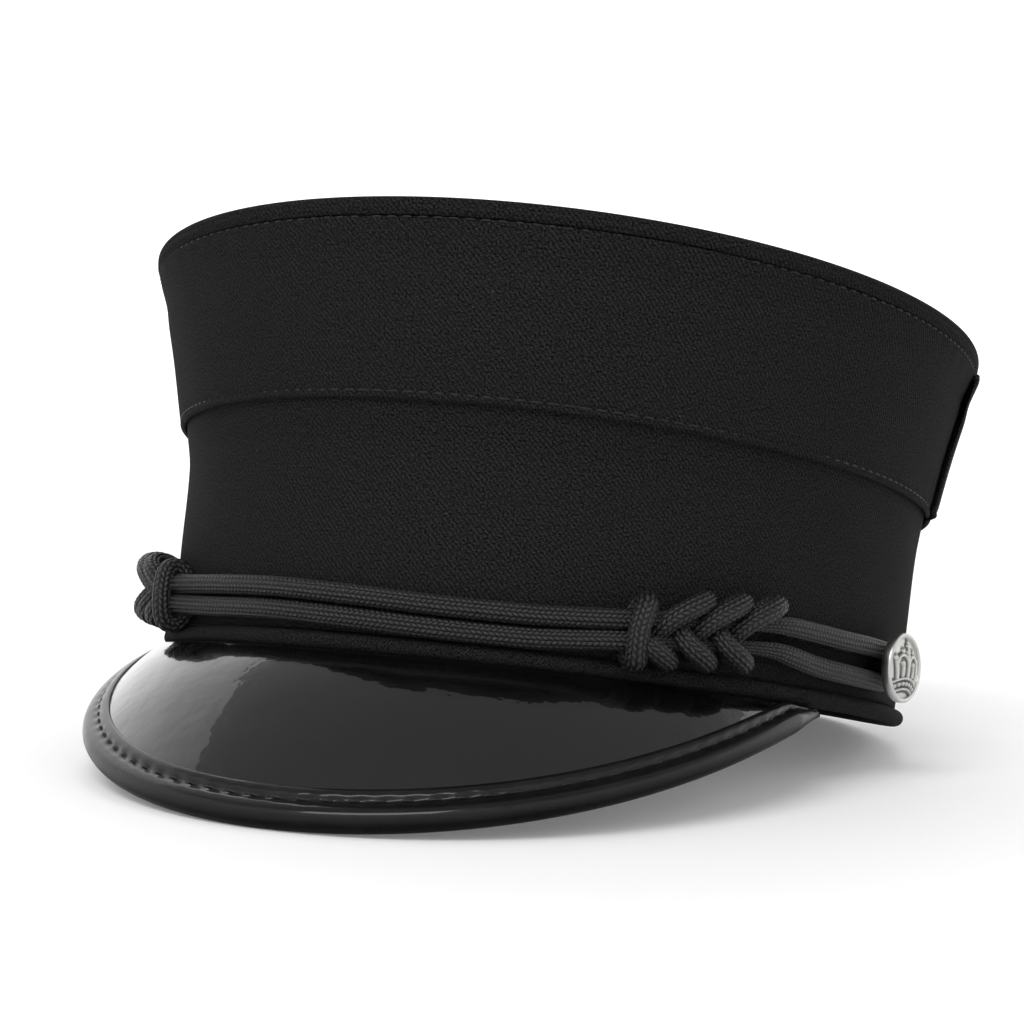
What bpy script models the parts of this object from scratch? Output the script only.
"""A conductor cap: a flared twill crown on a cloth roll, a patent peak with a bound edge, and a doubled
braided cord that two slide knots and two metal side buttons hold across the front.

The cap is modelled upright in its own frame, in metres, with the hem in the plane z = 0 and the peak
towards -Y. Angles run round the crown from its front, 0, over the wearer's left side, +90 degrees.
An empty then tips the cap back on to the peak's edge and the rear of the hem, as it rests on a table."""
import math
from collections import namedtuple

import bmesh
import bpy
from mathutils import Matrix, Vector

# Outer sizes of the crown
HEM_LENGTH = 0.209
HEM_WIDTH = 0.181
TOP_LENGTH = 0.2315
TOP_WIDTH = 0.2067
TOP_FORWARD = 0.0023
CROWN_HEIGHT = 0.0933
BAND_EDGE_HEIGHT = 0.0527
HEM_REAR_RISE = 0.0065

# The hem's rise is a power of how far an angle is turned to the rear
HEM_RISE_POWER = 2.5

# Cloth
WALL_THICKNESS = 0.002
BAND_THICKNESS = 0.0013
BAND_OVERLAP = 0.010
ROLL_DIAMETER = 0.004
TOP_TURN_DOWN = 0.004
TOP_THICKNESS = 0.002
TOP_CORNER = 0.0018
GAP = 0.0003

# The rear length of the upper band laps over the front length
LAP_ANGLE = math.radians(99)
LAP_WIDTH = 0.006
LAP_RAMP = 0.006

# Patent peak and its edge binding
PEAK_HALF_ANGLE = math.radians(66.3)
PEAK_REACH = 0.0278
PEAK_DROP = 0.0334
PEAK_CURL = 1.38
PEAK_THICKNESS = 0.0018
PEAK_END_REACH = 0.0008
PEAK_TUCK = 0.003
BINDING_WIDTH = 0.0052
BINDING_THICKNESS = 0.0011
BINDING_LIP = 0.0040
BINDING_END_REACH = 0.0042

# How the peak's reach and drop fall off towards its ends, beyond a plain parabola: factors of the
# second and the fourth power of an angle's share of the half angle
REACH_FALL = (-0.43, 0.12)
DROP_FALL = (-0.45, 0.0)

# Braided cord, its knots and the side buttons
CORD_DIAMETER = 0.0042
STRAND_SPACING = 0.0048
CORD_LEAN = 0.0008
KNOT_START = math.radians(42.2)
KNOT_PITCH = 0.0094
KNOT_SKEW = 0.0028
KNOT_HALF_HEIGHT = 0.0070
KNOT_HALF_DEPTH = 0.0035
KNOT_CORD_DIAMETER = 0.0037
KNOT_TURNS = 2.65
KNOT_HEIGHT = 0.0113
KNOT_RISE = 0.0022
COLLAR_ANGLE = math.radians(36.5)
BUTTON_ANGLE = math.radians(83)
BUTTON_TURN = math.radians(4)
BUTTON_HEIGHT = 0.0121
BUTTON_DIAMETER = 0.016
BUTTON_EDGE = 0.0018
BUTTON_DOME = 0.0008
BUTTON_RIM = 0.0011
SHANK_DIAMETER = 0.0026
CROWN_RELIEF = 0.0004

# Columns round the crown, and where its rows lie: heights on the lower wall as shares of the band
# edge's height, rings on the flat top as shares of its reach, and lines across the peak
COLUMNS = 60
WALL_ROWS = (0.3, 0.6, 0.82, 1.0)
TOP_RINGS = (0.88, 0.45)
PEAK_ROWS = (1.0, 0.8, 0.6, 0.4, 0.2, 0.0)

# The base line of the crown wall. level is 0 at the hem, 1 at the upper band's edge and 2 at the top.
# front, side and rear are shares of the way from the hem's reach to the top's reach, and widest is how
# far behind the hem's middle the crown is widest, as a share of half the hem's length.
Section = namedtuple("Section", "level front side rear widest")
CROWN_SECTIONS = (
    Section(0.00, -0.151, -0.231, -0.067, 0.000),
    Section(0.40, -0.156, -0.089, -0.029, 0.000),
    Section(0.82, -0.166, -0.004, 0.038, 0.000),
    Section(1.00, 0.103, 0.097, 0.185, -0.006),
    Section(1.45, 0.513, 0.427, 0.472, -0.018),
    Section(2.00, 1.000, 1.000, 1.000, -0.040),
)

# One strand of the cord from the middle of the front to the shank. angle is in degrees and middle is
# the height of the line between the two strands, in metres. rise is how far the strand runs above or
# below that line, in strand spacings, and out is how far its centre stands off the wall, in cord
# diameters. thick is its share of the cord's diameter, less than 1 where the wraps squeeze it.
Strand = namedtuple("Strand", "angle middle rise out thick")
STRAND_ROUTE = (
    Strand(0.0, 0.0093, 0.50, 0.57, 1.0),
    Strand(12.0, 0.0093, 0.50, 0.57, 1.0),
    Strand(23.0, 0.0094, 0.50, 0.60, 1.0),
    Strand(29.0, 0.0097, 0.48, 0.86, 1.0),
    Strand(33.0, 0.0100, 0.45, 1.32, 0.85),
    Strand(36.5, 0.0103, 0.45, 1.50, 0.70),
    Strand(38.3, 0.0107, 0.66, 1.36, 0.40),
    Strand(40.2, 0.0110, 0.81, 1.34, 0.20),
    Strand(46.0, 0.0117, 0.81, 1.34, 0.20),
    Strand(51.0, 0.0125, 0.81, 1.34, 0.20),
    Strand(56.0, 0.0133, 0.81, 1.34, 0.20),
    Strand(59.0, 0.0132, 0.80, 1.28, 0.50),
    Strand(61.5, 0.0129, 0.76, 1.10, 0.90),
    Strand(65.0, 0.0124, 0.73, 0.70, 1.0),
    Strand(71.0, 0.0121, 0.74, 0.57, 1.0),
    Strand(79.0, 0.0121, 0.77, 0.57, 1.0),
)

# The right half of the crown in relief on the buttons, from its base to its middle point. across and
# up are shares of the button's radius.
Relief = namedtuple("Relief", "across up")
CROWN_HALF = (
    Relief(0.44, -0.42),
    Relief(0.50, -0.20),
    Relief(0.58, 0.14),
    Relief(0.48, 0.18),
    Relief(0.36, -0.04),
    Relief(0.33, 0.27),
    Relief(0.23, 0.29),
    Relief(0.14, -0.02),
    Relief(0.06, 0.38),
)


def reach(length, forward, towards_front):
    """How far an oval of this length reaches from the hem's middle, forwards or backwards."""
    return length / 2 + (forward if towards_front else -forward)


def curve_through(values, places, place):
    """A smooth curve through the values at the places, read at one place."""
    last = len(places) - 1
    i = 0
    while i < last - 1 and place > places[i + 1]:
        i += 1
    def slope(k):
        low, high = max(k - 1, 0), min(k + 1, last)
        return (values[high] - values[low]) / (places[high] - places[low])
    width = places[i + 1] - places[i]
    u = (place - places[i]) / width
    start = values[i] * (2 * u**3 - 3 * u**2 + 1) + slope(i) * width * (u**3 - 2 * u**2 + u)
    end = values[i + 1] * (3 * u**2 - 2 * u**3) + slope(i + 1) * width * (u**3 - u**2)
    return start + end


def level_at(height):
    """0 at the hem, 1 at the upper band's edge, 2 at the top."""
    if height < BAND_EDGE_HEIGHT:
        return height / BAND_EDGE_HEIGHT
    return 1 + (height - BAND_EDGE_HEIGHT) / (CROWN_HEIGHT - BAND_EDGE_HEIGHT)


def oval_at(height):
    """Front reach, rear reach, half width and widest line of the crown wall's base line."""
    level = max(0.0, level_at(height))
    levels = [section.level for section in CROWN_SECTIONS]
    def share(column):
        return curve_through([getattr(section, column) for section in CROWN_SECTIONS], levels, level)
    cover = GAP + BAND_THICKNESS
    def between(low, high, column):
        return low + share(column) * (high - cover - low)
    front = between(HEM_LENGTH / 2, reach(TOP_LENGTH, TOP_FORWARD, True), "front")
    rear = between(HEM_LENGTH / 2, reach(TOP_LENGTH, TOP_FORWARD, False), "rear")
    side = between(HEM_WIDTH / 2, TOP_WIDTH / 2, "side")
    return front, rear, side, share("widest") * HEM_LENGTH / 2


def on_oval(oval, angle):
    """A point on an egg-shaped oval and its outward direction, both level."""
    front, rear, side, widest = oval
    length = front + widest if math.cos(angle) > 0 else rear - widest
    place = Vector((side * math.sin(angle), widest - length * math.cos(angle), 0))
    outward = Vector((math.sin(angle) / side, -math.cos(angle) / length, 0)).normalized()
    return place, outward


def hem_rise(angle):
    """How far the hem is pushed up where the cap rests on it, from nothing at the sides to the rear."""
    return HEM_REAR_RISE * max(0.0, -math.cos(angle)) ** HEM_RISE_POWER


def beside_wall(angle, height, out=0.0):
    """The point that stands out from the crown wall's base line at this angle and height."""
    place, outward = on_oval(oval_at(height), angle)
    share = (BAND_EDGE_HEIGHT - height) / (BAND_EDGE_HEIGHT - ROLL_DIAMETER - GAP)
    rise = hem_rise(angle) * min(1.0, max(0.0, share))
    return place + outward * out + Vector((0, 0, height + rise))


def beside_hem(angle, out, height):
    """The point that stands out from the hem's outer line."""
    hem = (HEM_LENGTH / 2, HEM_LENGTH / 2, HEM_WIDTH / 2, 0.0)
    place, outward = on_oval(hem, angle)
    return place + outward * out + Vector((0, 0, height + hem_rise(angle)))


def wall_arc(angle, height):
    """Metres along the wall for each radian round it."""
    step = 0.01
    return (beside_wall(angle + step, height) - beside_wall(angle - step, height)).length / (2 * step)


def angles(first, last, count):
    """Evenly spaced angles, both ends included."""
    return [first + (last - first) * i / count for i in range(count + 1)]


def material(name, colour, roughness, metallic=0.0, coat=0.0):
    """A plain Principled finish."""
    made = bpy.data.materials.new(name)
    made.use_nodes = True
    shader = made.node_tree.nodes["Principled BSDF"]
    shader.inputs["Base Color"].default_value = (*colour, 1)
    shader.inputs["Roughness"].default_value = roughness
    shader.inputs["Metallic"].default_value = metallic
    shader.inputs["Coat Weight"].default_value = coat
    return made


def add_object(name, data, finish):
    """Put a mesh or a curve into the cap's collection, under the empty that tips the cap back."""
    data.materials.append(finish)
    made = bpy.data.objects.new(name, data)
    bpy.data.collections["conductor_cap"].objects.link(made)
    made.parent = bpy.data.objects["cap_at_rest"]
    return made


def sheet(name, rows, finish, thickness, closed=True, apex=None):
    """A cloth or leather sheet: a grid of points, thickened on the side away from its outer face."""
    bm = bmesh.new()
    grid = [[bm.verts.new(point) for point in row] for row in rows]
    count = len(rows[0])
    for low, high in zip(grid, grid[1:]):
        for i in range(count if closed else count - 1):
            j = (i + 1) % count
            bm.faces.new((low[i], low[j], high[j], high[i]))
    if apex is not None:
        middle = bm.verts.new(apex)
        for i in range(count):
            bm.faces.new((grid[-1][i], grid[-1][(i + 1) % count], middle))
    mesh = bpy.data.meshes.new(name)
    bm.to_mesh(mesh)
    bm.free()
    mesh.shade_smooth()
    made = add_object(name, mesh, finish)
    solid = made.modifiers.new("thickness", "SOLIDIFY")
    solid.thickness = thickness
    solid.offset = -1
    solid.use_even_offset = True
    return made


def loft(name, sections, finish):
    """One closed body through equal outlines, capped at both ends."""
    bm = bmesh.new()
    rings = [[bm.verts.new(point) for point in section] for section in sections]
    count = len(sections[0])
    for low, high in zip(rings, rings[1:]):
        for i in range(count):
            bm.faces.new((low[i], low[(i + 1) % count], high[(i + 1) % count], high[i]))
    bm.faces.new(rings[0])
    bm.faces.new(rings[-1])
    bmesh.ops.triangulate(bm, faces=[face for face in bm.faces if len(face.verts) > 4])
    bmesh.ops.recalc_face_normals(bm, faces=bm.faces)
    mesh = bpy.data.meshes.new(name)
    bm.to_mesh(mesh)
    bm.free()
    mesh.shade_smooth()
    return add_object(name, mesh, finish)


def tube(name, points, thick, diameter, finish, closed):
    """A round cord along the points, thinner where thick is under 1."""
    data = bpy.data.curves.new(name, "CURVE")
    data.dimensions = "3D"
    data.bevel_depth = diameter / 2
    data.bevel_resolution = 2
    data.use_fill_caps = True
    spline = data.splines.new("POLY")
    spline.points.add(len(points) - 1)
    spline.use_cyclic_u = closed
    for target, point, share in zip(spline.points, points, thick):
        target.co = (*point, 1)
        target.radius = share
    return add_object(name, data, finish)


def make_hem_roll(finish):
    """The cloth roll round the open lower rim."""
    radius = ROLL_DIAMETER / 2
    turn = angles(0, math.tau, COLUMNS)[:-1]
    points = [beside_hem(angle, -radius, radius) for angle in turn]
    tube("hem_roll", points, [1.0] * len(points), ROLL_DIAMETER, finish, closed=True)


def make_lower_wall(finish):
    """The lower half of the crown. Its top runs up inside the upper band."""
    bottom = ROLL_DIAMETER + GAP
    top = BAND_EDGE_HEIGHT + BAND_OVERLAP
    heights = [bottom] + [BAND_EDGE_HEIGHT * share for share in WALL_ROWS] + [top]
    turn = angles(0, math.tau, COLUMNS)[:-1]
    rows = [[beside_wall(angle, height) for angle in turn] for height in heights]
    sheet("lower_wall", rows, finish, WALL_THICKNESS)


def band_heights():
    """Heights of the upper band's rows, from its lower edge to just under the top's turned edge."""
    top = CROWN_HEIGHT - TOP_TURN_DOWN - GAP
    return angles(BAND_EDGE_HEIGHT, top, 4)


def make_upper_band_front(finish):
    """The front length of the upper band, with its ends under the laps."""
    out = GAP + BAND_THICKNESS
    lap = LAP_WIDTH / wall_arc(LAP_ANGLE, BAND_EDGE_HEIGHT)
    turn = angles(-LAP_ANGLE - lap, LAP_ANGLE + lap, 40)
    rows = [[beside_wall(angle, height, out) for angle in turn] for height in band_heights()]
    sheet("upper_band_front", rows, finish, BAND_THICKNESS, closed=False)


def make_upper_band_rear(finish):
    """The rear length of the band. Over each lap it stands off the wall by one more thickness."""
    out = GAP + BAND_THICKNESS
    arc = wall_arc(LAP_ANGLE, BAND_EDGE_HEIGHT)
    lap_end = (LAP_WIDTH + GAP) / arc
    ramp_end = lap_end + LAP_RAMP / arc
    near = [LAP_ANGLE, LAP_ANGLE + lap_end / 2, LAP_ANGLE + lap_end]
    near += angles(LAP_ANGLE + lap_end, LAP_ANGLE + ramp_end, 4)[1:]
    middle = angles(near[-1], math.tau - near[-1], 20)[1:-1]
    turn = near + middle + [math.tau - angle for angle in reversed(near)]
    def lift(angle):
        along = min(angle, math.tau - angle) - LAP_ANGLE
        share = min(1.0, max(0.0, (ramp_end - along) / (ramp_end - lap_end)))
        return out + out * share * share * (3 - 2 * share)
    rows = [[beside_wall(angle, height, lift(angle)) for angle in turn] for height in band_heights()]
    sheet("upper_band_rear", rows, finish, BAND_THICKNESS, closed=False)


def make_crown_top(finish):
    """The flat top with its rounded corner and its short turned-down edge."""
    out = GAP + BAND_THICKNESS
    turn = angles(0, math.tau, COLUMNS)[:-1]
    rows = [[beside_wall(angle, CROWN_HEIGHT - down, out) for angle in turn]
            for down in (TOP_TURN_DOWN, TOP_CORNER)]
    for quarter in (0.5, 1.0):
        bend = quarter * math.pi / 2
        inset = TOP_CORNER * (1 - math.cos(bend))
        height = CROWN_HEIGHT - TOP_CORNER * (1 - math.sin(bend))
        rows.append([beside_wall(angle, height, out - inset) for angle in turn])
    rim = rows[-1]
    middle = Vector((0, -TOP_FORWARD, CROWN_HEIGHT))
    for share in TOP_RINGS:
        rows.append([middle.lerp(point, share) for point in rim])
    sheet("crown_top", rows, finish, TOP_THICKNESS, apex=middle)


def peak_edge(angle):
    """How far the peak's edge reaches out from the hem, and how far it drops, at an angle."""
    u = angle / PEAK_HALF_ANGLE
    def share(fall):
        return (1 - u**2) * (1 + fall[0] * u**2 + fall[1] * u**4)
    return PEAK_END_REACH + (PEAK_REACH - PEAK_END_REACH) * share(REACH_FALL), PEAK_DROP * share(DROP_FALL)


def on_peak(angle, share):
    """A point on the peak's upper face, from the hem, share 0, to the edge, share 1."""
    out, drop = peak_edge(angle)
    return beside_hem(angle, out * share, -GAP - drop * share**PEAK_CURL)


def make_peak(finish):
    """The patent peak, sewn in under the roll."""
    turn = angles(-PEAK_HALF_ANGLE, PEAK_HALF_ANGLE, 36)
    rows = [[on_peak(angle, share) for angle in turn] for share in PEAK_ROWS]
    rows.append([beside_hem(angle, -PEAK_TUCK, -GAP) for angle in turn])
    sheet("peak", rows, finish, PEAK_THICKNESS, closed=False)


def binding_outline():
    """The binding's section round the peak's edge: inwards along the upper face, then up from it."""
    under = -PEAK_THICKNESS - GAP
    lip = BINDING_LIP / 2
    middle = under / 2
    return (
        (BINDING_WIDTH, GAP),
        (BINDING_WIDTH, GAP + BINDING_THICKNESS * 0.7),
        (BINDING_WIDTH * 0.5, GAP + BINDING_THICKNESS),
        (lip, middle + lip * 1.35),
        (0.0, middle + lip * 1.45),
        (-lip * 0.75, middle + lip * 0.85),
        (-lip, middle),
        (-lip * 0.75, middle - lip * 0.85),
        (0.0, middle - lip * 1.3),
        (BINDING_WIDTH * 0.75, under - BINDING_THICKNESS),
        (BINDING_WIDTH * 0.75, under),
        (-GAP, under),
        (-GAP, GAP),
    )


def make_peak_binding(finish):
    """The raised binding folded over the peak's outer edge."""
    def slant(angle):
        return (on_peak(angle, 1.0) - on_peak(angle, 0.0)).length
    end = PEAK_HALF_ANGLE
    while slant(end) < BINDING_END_REACH:
        end -= 0.002
    sections = []
    for angle in angles(-end, end, 36):
        step = 0.004
        tangent = (on_peak(angle + step, 1.0) - on_peak(angle - step, 1.0)).normalized()
        length = slant(angle)
        fit = min(1.0, (length - 2 * GAP) / BINDING_WIDTH)
        section = []
        for inwards, up in binding_outline():
            share = 1.0 - max(0.0, inwards * fit) / length
            place = on_peak(angle, share)
            near = min(share, 0.98)
            along = (on_peak(angle, near) - on_peak(angle, near + 0.02)).normalized()
            normal = tangent.cross(along).normalized()
            section.append(place + along * min(0.0, inwards) + normal * up)
        sections.append(section)
    loft("peak_binding", sections, finish)


def smooth_loop(rows, steps):
    """Rows of equal numbers joined by one smooth closed curve, read at a few steps a row."""
    count = len(rows)
    made = []
    for i in range(count):
        a, b, c, d = (rows[(i + k) % count] for k in (-1, 0, 1, 2))
        for k in range(steps):
            u = k / steps
            made.append([
                q + 0.5 * ((r - p) * u + (2 * p - 5 * q + 4 * r - s) * u**2 + (3 * q - p - 3 * r + s) * u**3)
                for p, q, r, s in zip(a, b, c, d)
            ])
    return made


def make_cap_cord(finish):
    """The doubled cord: one endless loop across the front and round both button shanks."""
    def strand(row, side, above):
        lean = CORD_LEAN * math.sin(math.pi * min(1.0, math.radians(row.angle) / COLLAR_ANGLE))
        height = row.middle - side * lean + above * row.rise * STRAND_SPACING
        return [side * math.radians(row.angle), height, row.out * CORD_DIAMETER, row.thick]
    turn_radius = SHANK_DIAMETER / 2 + GAP + CORD_DIAMETER / 2
    arc = wall_arc(BUTTON_ANGLE, BUTTON_HEIGHT)
    out = STRAND_ROUTE[-1].out * CORD_DIAMETER
    def bend(side):
        made = []
        for turn in (math.radians(60), 0.0, math.radians(-60)):
            angle = side * (BUTTON_ANGLE + turn_radius * math.cos(turn) / arc)
            made.append([angle, BUTTON_HEIGHT + turn_radius * math.sin(turn), out, 1.0])
        return made
    right = [strand(row, 1, 1) for row in STRAND_ROUTE] + bend(1)
    right += [strand(row, 1, -1) for row in reversed(STRAND_ROUTE)]
    left = [strand(row, -1, -1) for row in STRAND_ROUTE[1:]] + list(reversed(bend(-1)))
    left += [strand(row, -1, 1) for row in reversed(STRAND_ROUTE[1:])]
    rows = smooth_loop(right + left, 2)
    points = [beside_wall(row[0], row[1], row[2]) for row in rows]
    tube("cap_cord", points, [row[3] for row in rows], CORD_DIAMETER, finish, closed=True)


def knot_out():
    """How far the middle of a knot stands off the wall."""
    return GAP + KNOT_CORD_DIAMETER / 2 + KNOT_HALF_DEPTH


def make_knot(name, side, finish):
    """Figure-eight wraps round both strands. Front passes lean away from the middle of the cap."""
    arc = wall_arc(KNOT_START, KNOT_HEIGHT)
    points = []
    for turn in angles(-math.pi / 2, (2 * KNOT_TURNS - 0.5) * math.pi, 42):
        along = KNOT_PITCH * turn / math.tau - KNOT_SKEW * math.cos(2 * turn)
        rise = KNOT_RISE * along / (KNOT_PITCH * KNOT_TURNS)
        height = KNOT_HEIGHT + rise + KNOT_HALF_HEIGHT * math.sin(turn)
        angle = side * (KNOT_START + along / arc)
        points.append(beside_wall(angle, height, knot_out() + KNOT_HALF_DEPTH * math.sin(2 * turn)))
    tube(name, points, [1.0] * len(points), KNOT_CORD_DIAMETER, finish, closed=False)


def make_collar(name, side, finish):
    """The loop that closes a knot on its front side, round both strands."""
    row = next(row for row in STRAND_ROUTE if math.isclose(math.radians(row.angle), COLLAR_ANGLE))
    rise = row.rise * STRAND_SPACING
    radius = (row.thick + 1) * CORD_DIAMETER / 2 + 2 * GAP
    points = []
    for quarter in range(4):
        for step in range(5):
            turn = (quarter + step / 5) * math.pi / 2
            height = row.middle + math.copysign(rise, math.sin(turn + 0.001)) + radius * math.sin(turn)
            out = row.out * CORD_DIAMETER + radius * math.cos(turn)
            points.append(beside_wall(side * COLLAR_ANGLE, height, out))
    tube(name, points, [1.0] * len(points), CORD_DIAMETER, finish, closed=True)


def crown_relief():
    """A plain heraldic crown with five points, twice as thick as its relief stands up."""
    size = BUTTON_DIAMETER / 2
    bm = bmesh.new()
    outline = [(point.across, point.up) for point in CROWN_HALF]
    outline += [(-across, up) for across, up in reversed(outline)]
    base = bm.faces.new([bm.verts.new((across * size, up * size, -CROWN_RELIEF)) for across, up in outline])
    grown = bmesh.ops.extrude_face_region(bm, geom=[base])
    for item in grown["geom"]:
        if isinstance(item, bmesh.types.BMVert):
            item.co.z += 2 * CROWN_RELIEF
    bmesh.ops.triangulate(bm, faces=bm.faces)
    bmesh.ops.recalc_face_normals(bm, faces=bm.faces)
    mesh = bpy.data.meshes.new("relief")
    bm.to_mesh(mesh)
    bm.free()
    return mesh


def make_button(name, side, finish):
    """A domed button with a raised rim, a crown in relief and its shank, facing a little forwards."""
    radius = BUTTON_DIAMETER / 2
    strand_out = STRAND_ROUTE[-1].out * CORD_DIAMETER
    back = strand_out + CORD_DIAMETER / 2 + GAP + radius * math.sin(BUTTON_TURN)
    face = back + BUTTON_EDGE
    profile = (
        (0.0, face + BUTTON_DOME),
        (radius * 0.45, face + BUTTON_DOME * 0.85),
        (radius - BUTTON_RIM * 1.3, face),
        (radius - BUTTON_RIM, face + BUTTON_RIM * 0.45),
        (radius - BUTTON_RIM * 0.3, face + BUTTON_RIM * 0.35),
        (radius, face - BUTTON_EDGE * 0.4),
        (radius - BUTTON_RIM * 0.4, back),
        (SHANK_DIAMETER / 2, back),
        (SHANK_DIAMETER / 2, GAP),
        (0.0, GAP),
    )
    bm = bmesh.new()
    points = [bm.verts.new((across, 0, out)) for across, out in profile]
    for low, high in zip(points, points[1:]):
        bm.edges.new((low, high))
    bmesh.ops.spin(bm, geom=bm.verts[:] + bm.edges[:], cent=(0, 0, 0), axis=(0, 0, 1), angle=math.tau,
                   steps=26, use_merge=True)
    bmesh.ops.remove_doubles(bm, verts=bm.verts, dist=0.00001)
    bmesh.ops.recalc_face_normals(bm, faces=bm.faces)
    mesh = bpy.data.meshes.new(name)
    bm.to_mesh(mesh)
    bm.free()
    mesh.shade_smooth()
    made = add_object(name, mesh, finish)
    raised = bpy.data.objects.new(name + "_crown", crown_relief())
    raised.location = (0, 0, face + BUTTON_DOME * 0.75)
    raised.hide_render = True
    raised.display_type = "WIRE"
    bpy.data.collections["cutters"].objects.link(raised)
    centre, outward = on_oval(oval_at(BUTTON_HEIGHT), side * BUTTON_ANGLE)
    facing = Matrix.Rotation(-side * BUTTON_TURN, 3, "Z") @ outward
    across = Vector((0, 0, 1)).cross(facing)
    turn = Matrix((across, Vector((0, 0, 1)), facing)).transposed().to_4x4()
    made.matrix_local = Matrix.Translation(centre + Vector((0, 0, BUTTON_HEIGHT))) @ turn
    raised.parent = made
    union = made.modifiers.new("relief", "BOOLEAN")
    union.operation = "UNION"
    union.solver = "EXACT"
    union.object = raised


def evaluated_points(name):
    """The finished points of one piece, in the cap's own frame."""
    bpy.context.view_layer.update()
    made = bpy.data.objects[name].evaluated_get(bpy.context.evaluated_depsgraph_get())
    mesh = made.to_mesh()
    points = [made.matrix_world @ vertex.co for vertex in mesh.vertices]
    made.to_mesh_clear()
    return points


def rest_slope():
    """The slope of the table under the peak's edge and the rear of the hem, seen in the cap's frame."""
    front = evaluated_points("peak_binding")
    rear = evaluated_points("hem_roll")
    low, high = 0.0, 1.0
    for _ in range(50):
        slope = (low + high) / 2
        front_lowest = min(point.z - slope * point.y for point in front)
        rear_lowest = min(point.z - slope * point.y for point in rear)
        if front_lowest < rear_lowest:
            low = slope
        else:
            high = slope
    return (low + high) / 2


def rest_on_table():
    """Tip the cap on to the table and centre it over the origin."""
    empty = bpy.data.objects["cap_at_rest"]
    tip = Matrix.Rotation(-math.atan(rest_slope()), 4, "X")
    points = []
    for made in bpy.data.collections["conductor_cap"].objects:
        if made.type != "EMPTY":
            points += [tip @ point for point in evaluated_points(made.name)]
    low = Vector([min(point[k] for point in points) for k in range(3)])
    high = Vector([max(point[k] for point in points) for k in range(3)])
    middle = (low + high) / 2
    empty.matrix_world = Matrix.Translation((-middle.x, -middle.y, -low.z)) @ tip


def main():
    for old in list(bpy.data.objects):
        bpy.data.objects.remove(old, do_unlink=True)
    for name in ("conductor_cap", "cutters"):
        bpy.context.scene.collection.children.link(bpy.data.collections.new(name))
    empty = bpy.data.objects.new("cap_at_rest", None)
    bpy.data.collections["conductor_cap"].objects.link(empty)

    make_hem_roll(material("roll_twill", (0.012, 0.012, 0.013), 0.8))
    make_lower_wall(material("wall_twill", (0.013, 0.013, 0.014), 0.8))
    make_upper_band_front(material("front_twill", (0.013, 0.013, 0.014), 0.8))
    make_upper_band_rear(material("rear_twill", (0.013, 0.013, 0.014), 0.8))
    make_crown_top(material("top_twill", (0.013, 0.013, 0.014), 0.8))
    make_peak(material("patent", (0.006, 0.006, 0.007), 0.08, coat=1.0))
    make_peak_binding(material("binding_patent", (0.008, 0.008, 0.009), 0.2, coat=0.6))
    make_cap_cord(material("cord_braid", (0.015, 0.015, 0.016), 0.6))
    for side_name, side in (("left", 1), ("right", -1)):
        knot_finish = material("knot_braid_" + side_name, (0.015, 0.015, 0.016), 0.6)
        make_knot("knot_" + side_name, side, knot_finish)
        collar_finish = material("collar_braid_" + side_name, (0.015, 0.015, 0.016), 0.6)
        make_collar("knot_collar_" + side_name, side, collar_finish)
        metal = material("button_metal_" + side_name, (0.5, 0.5, 0.5), 0.35, metallic=1.0)
        make_button("button_" + side_name, side, metal)
    rest_on_table()


main()
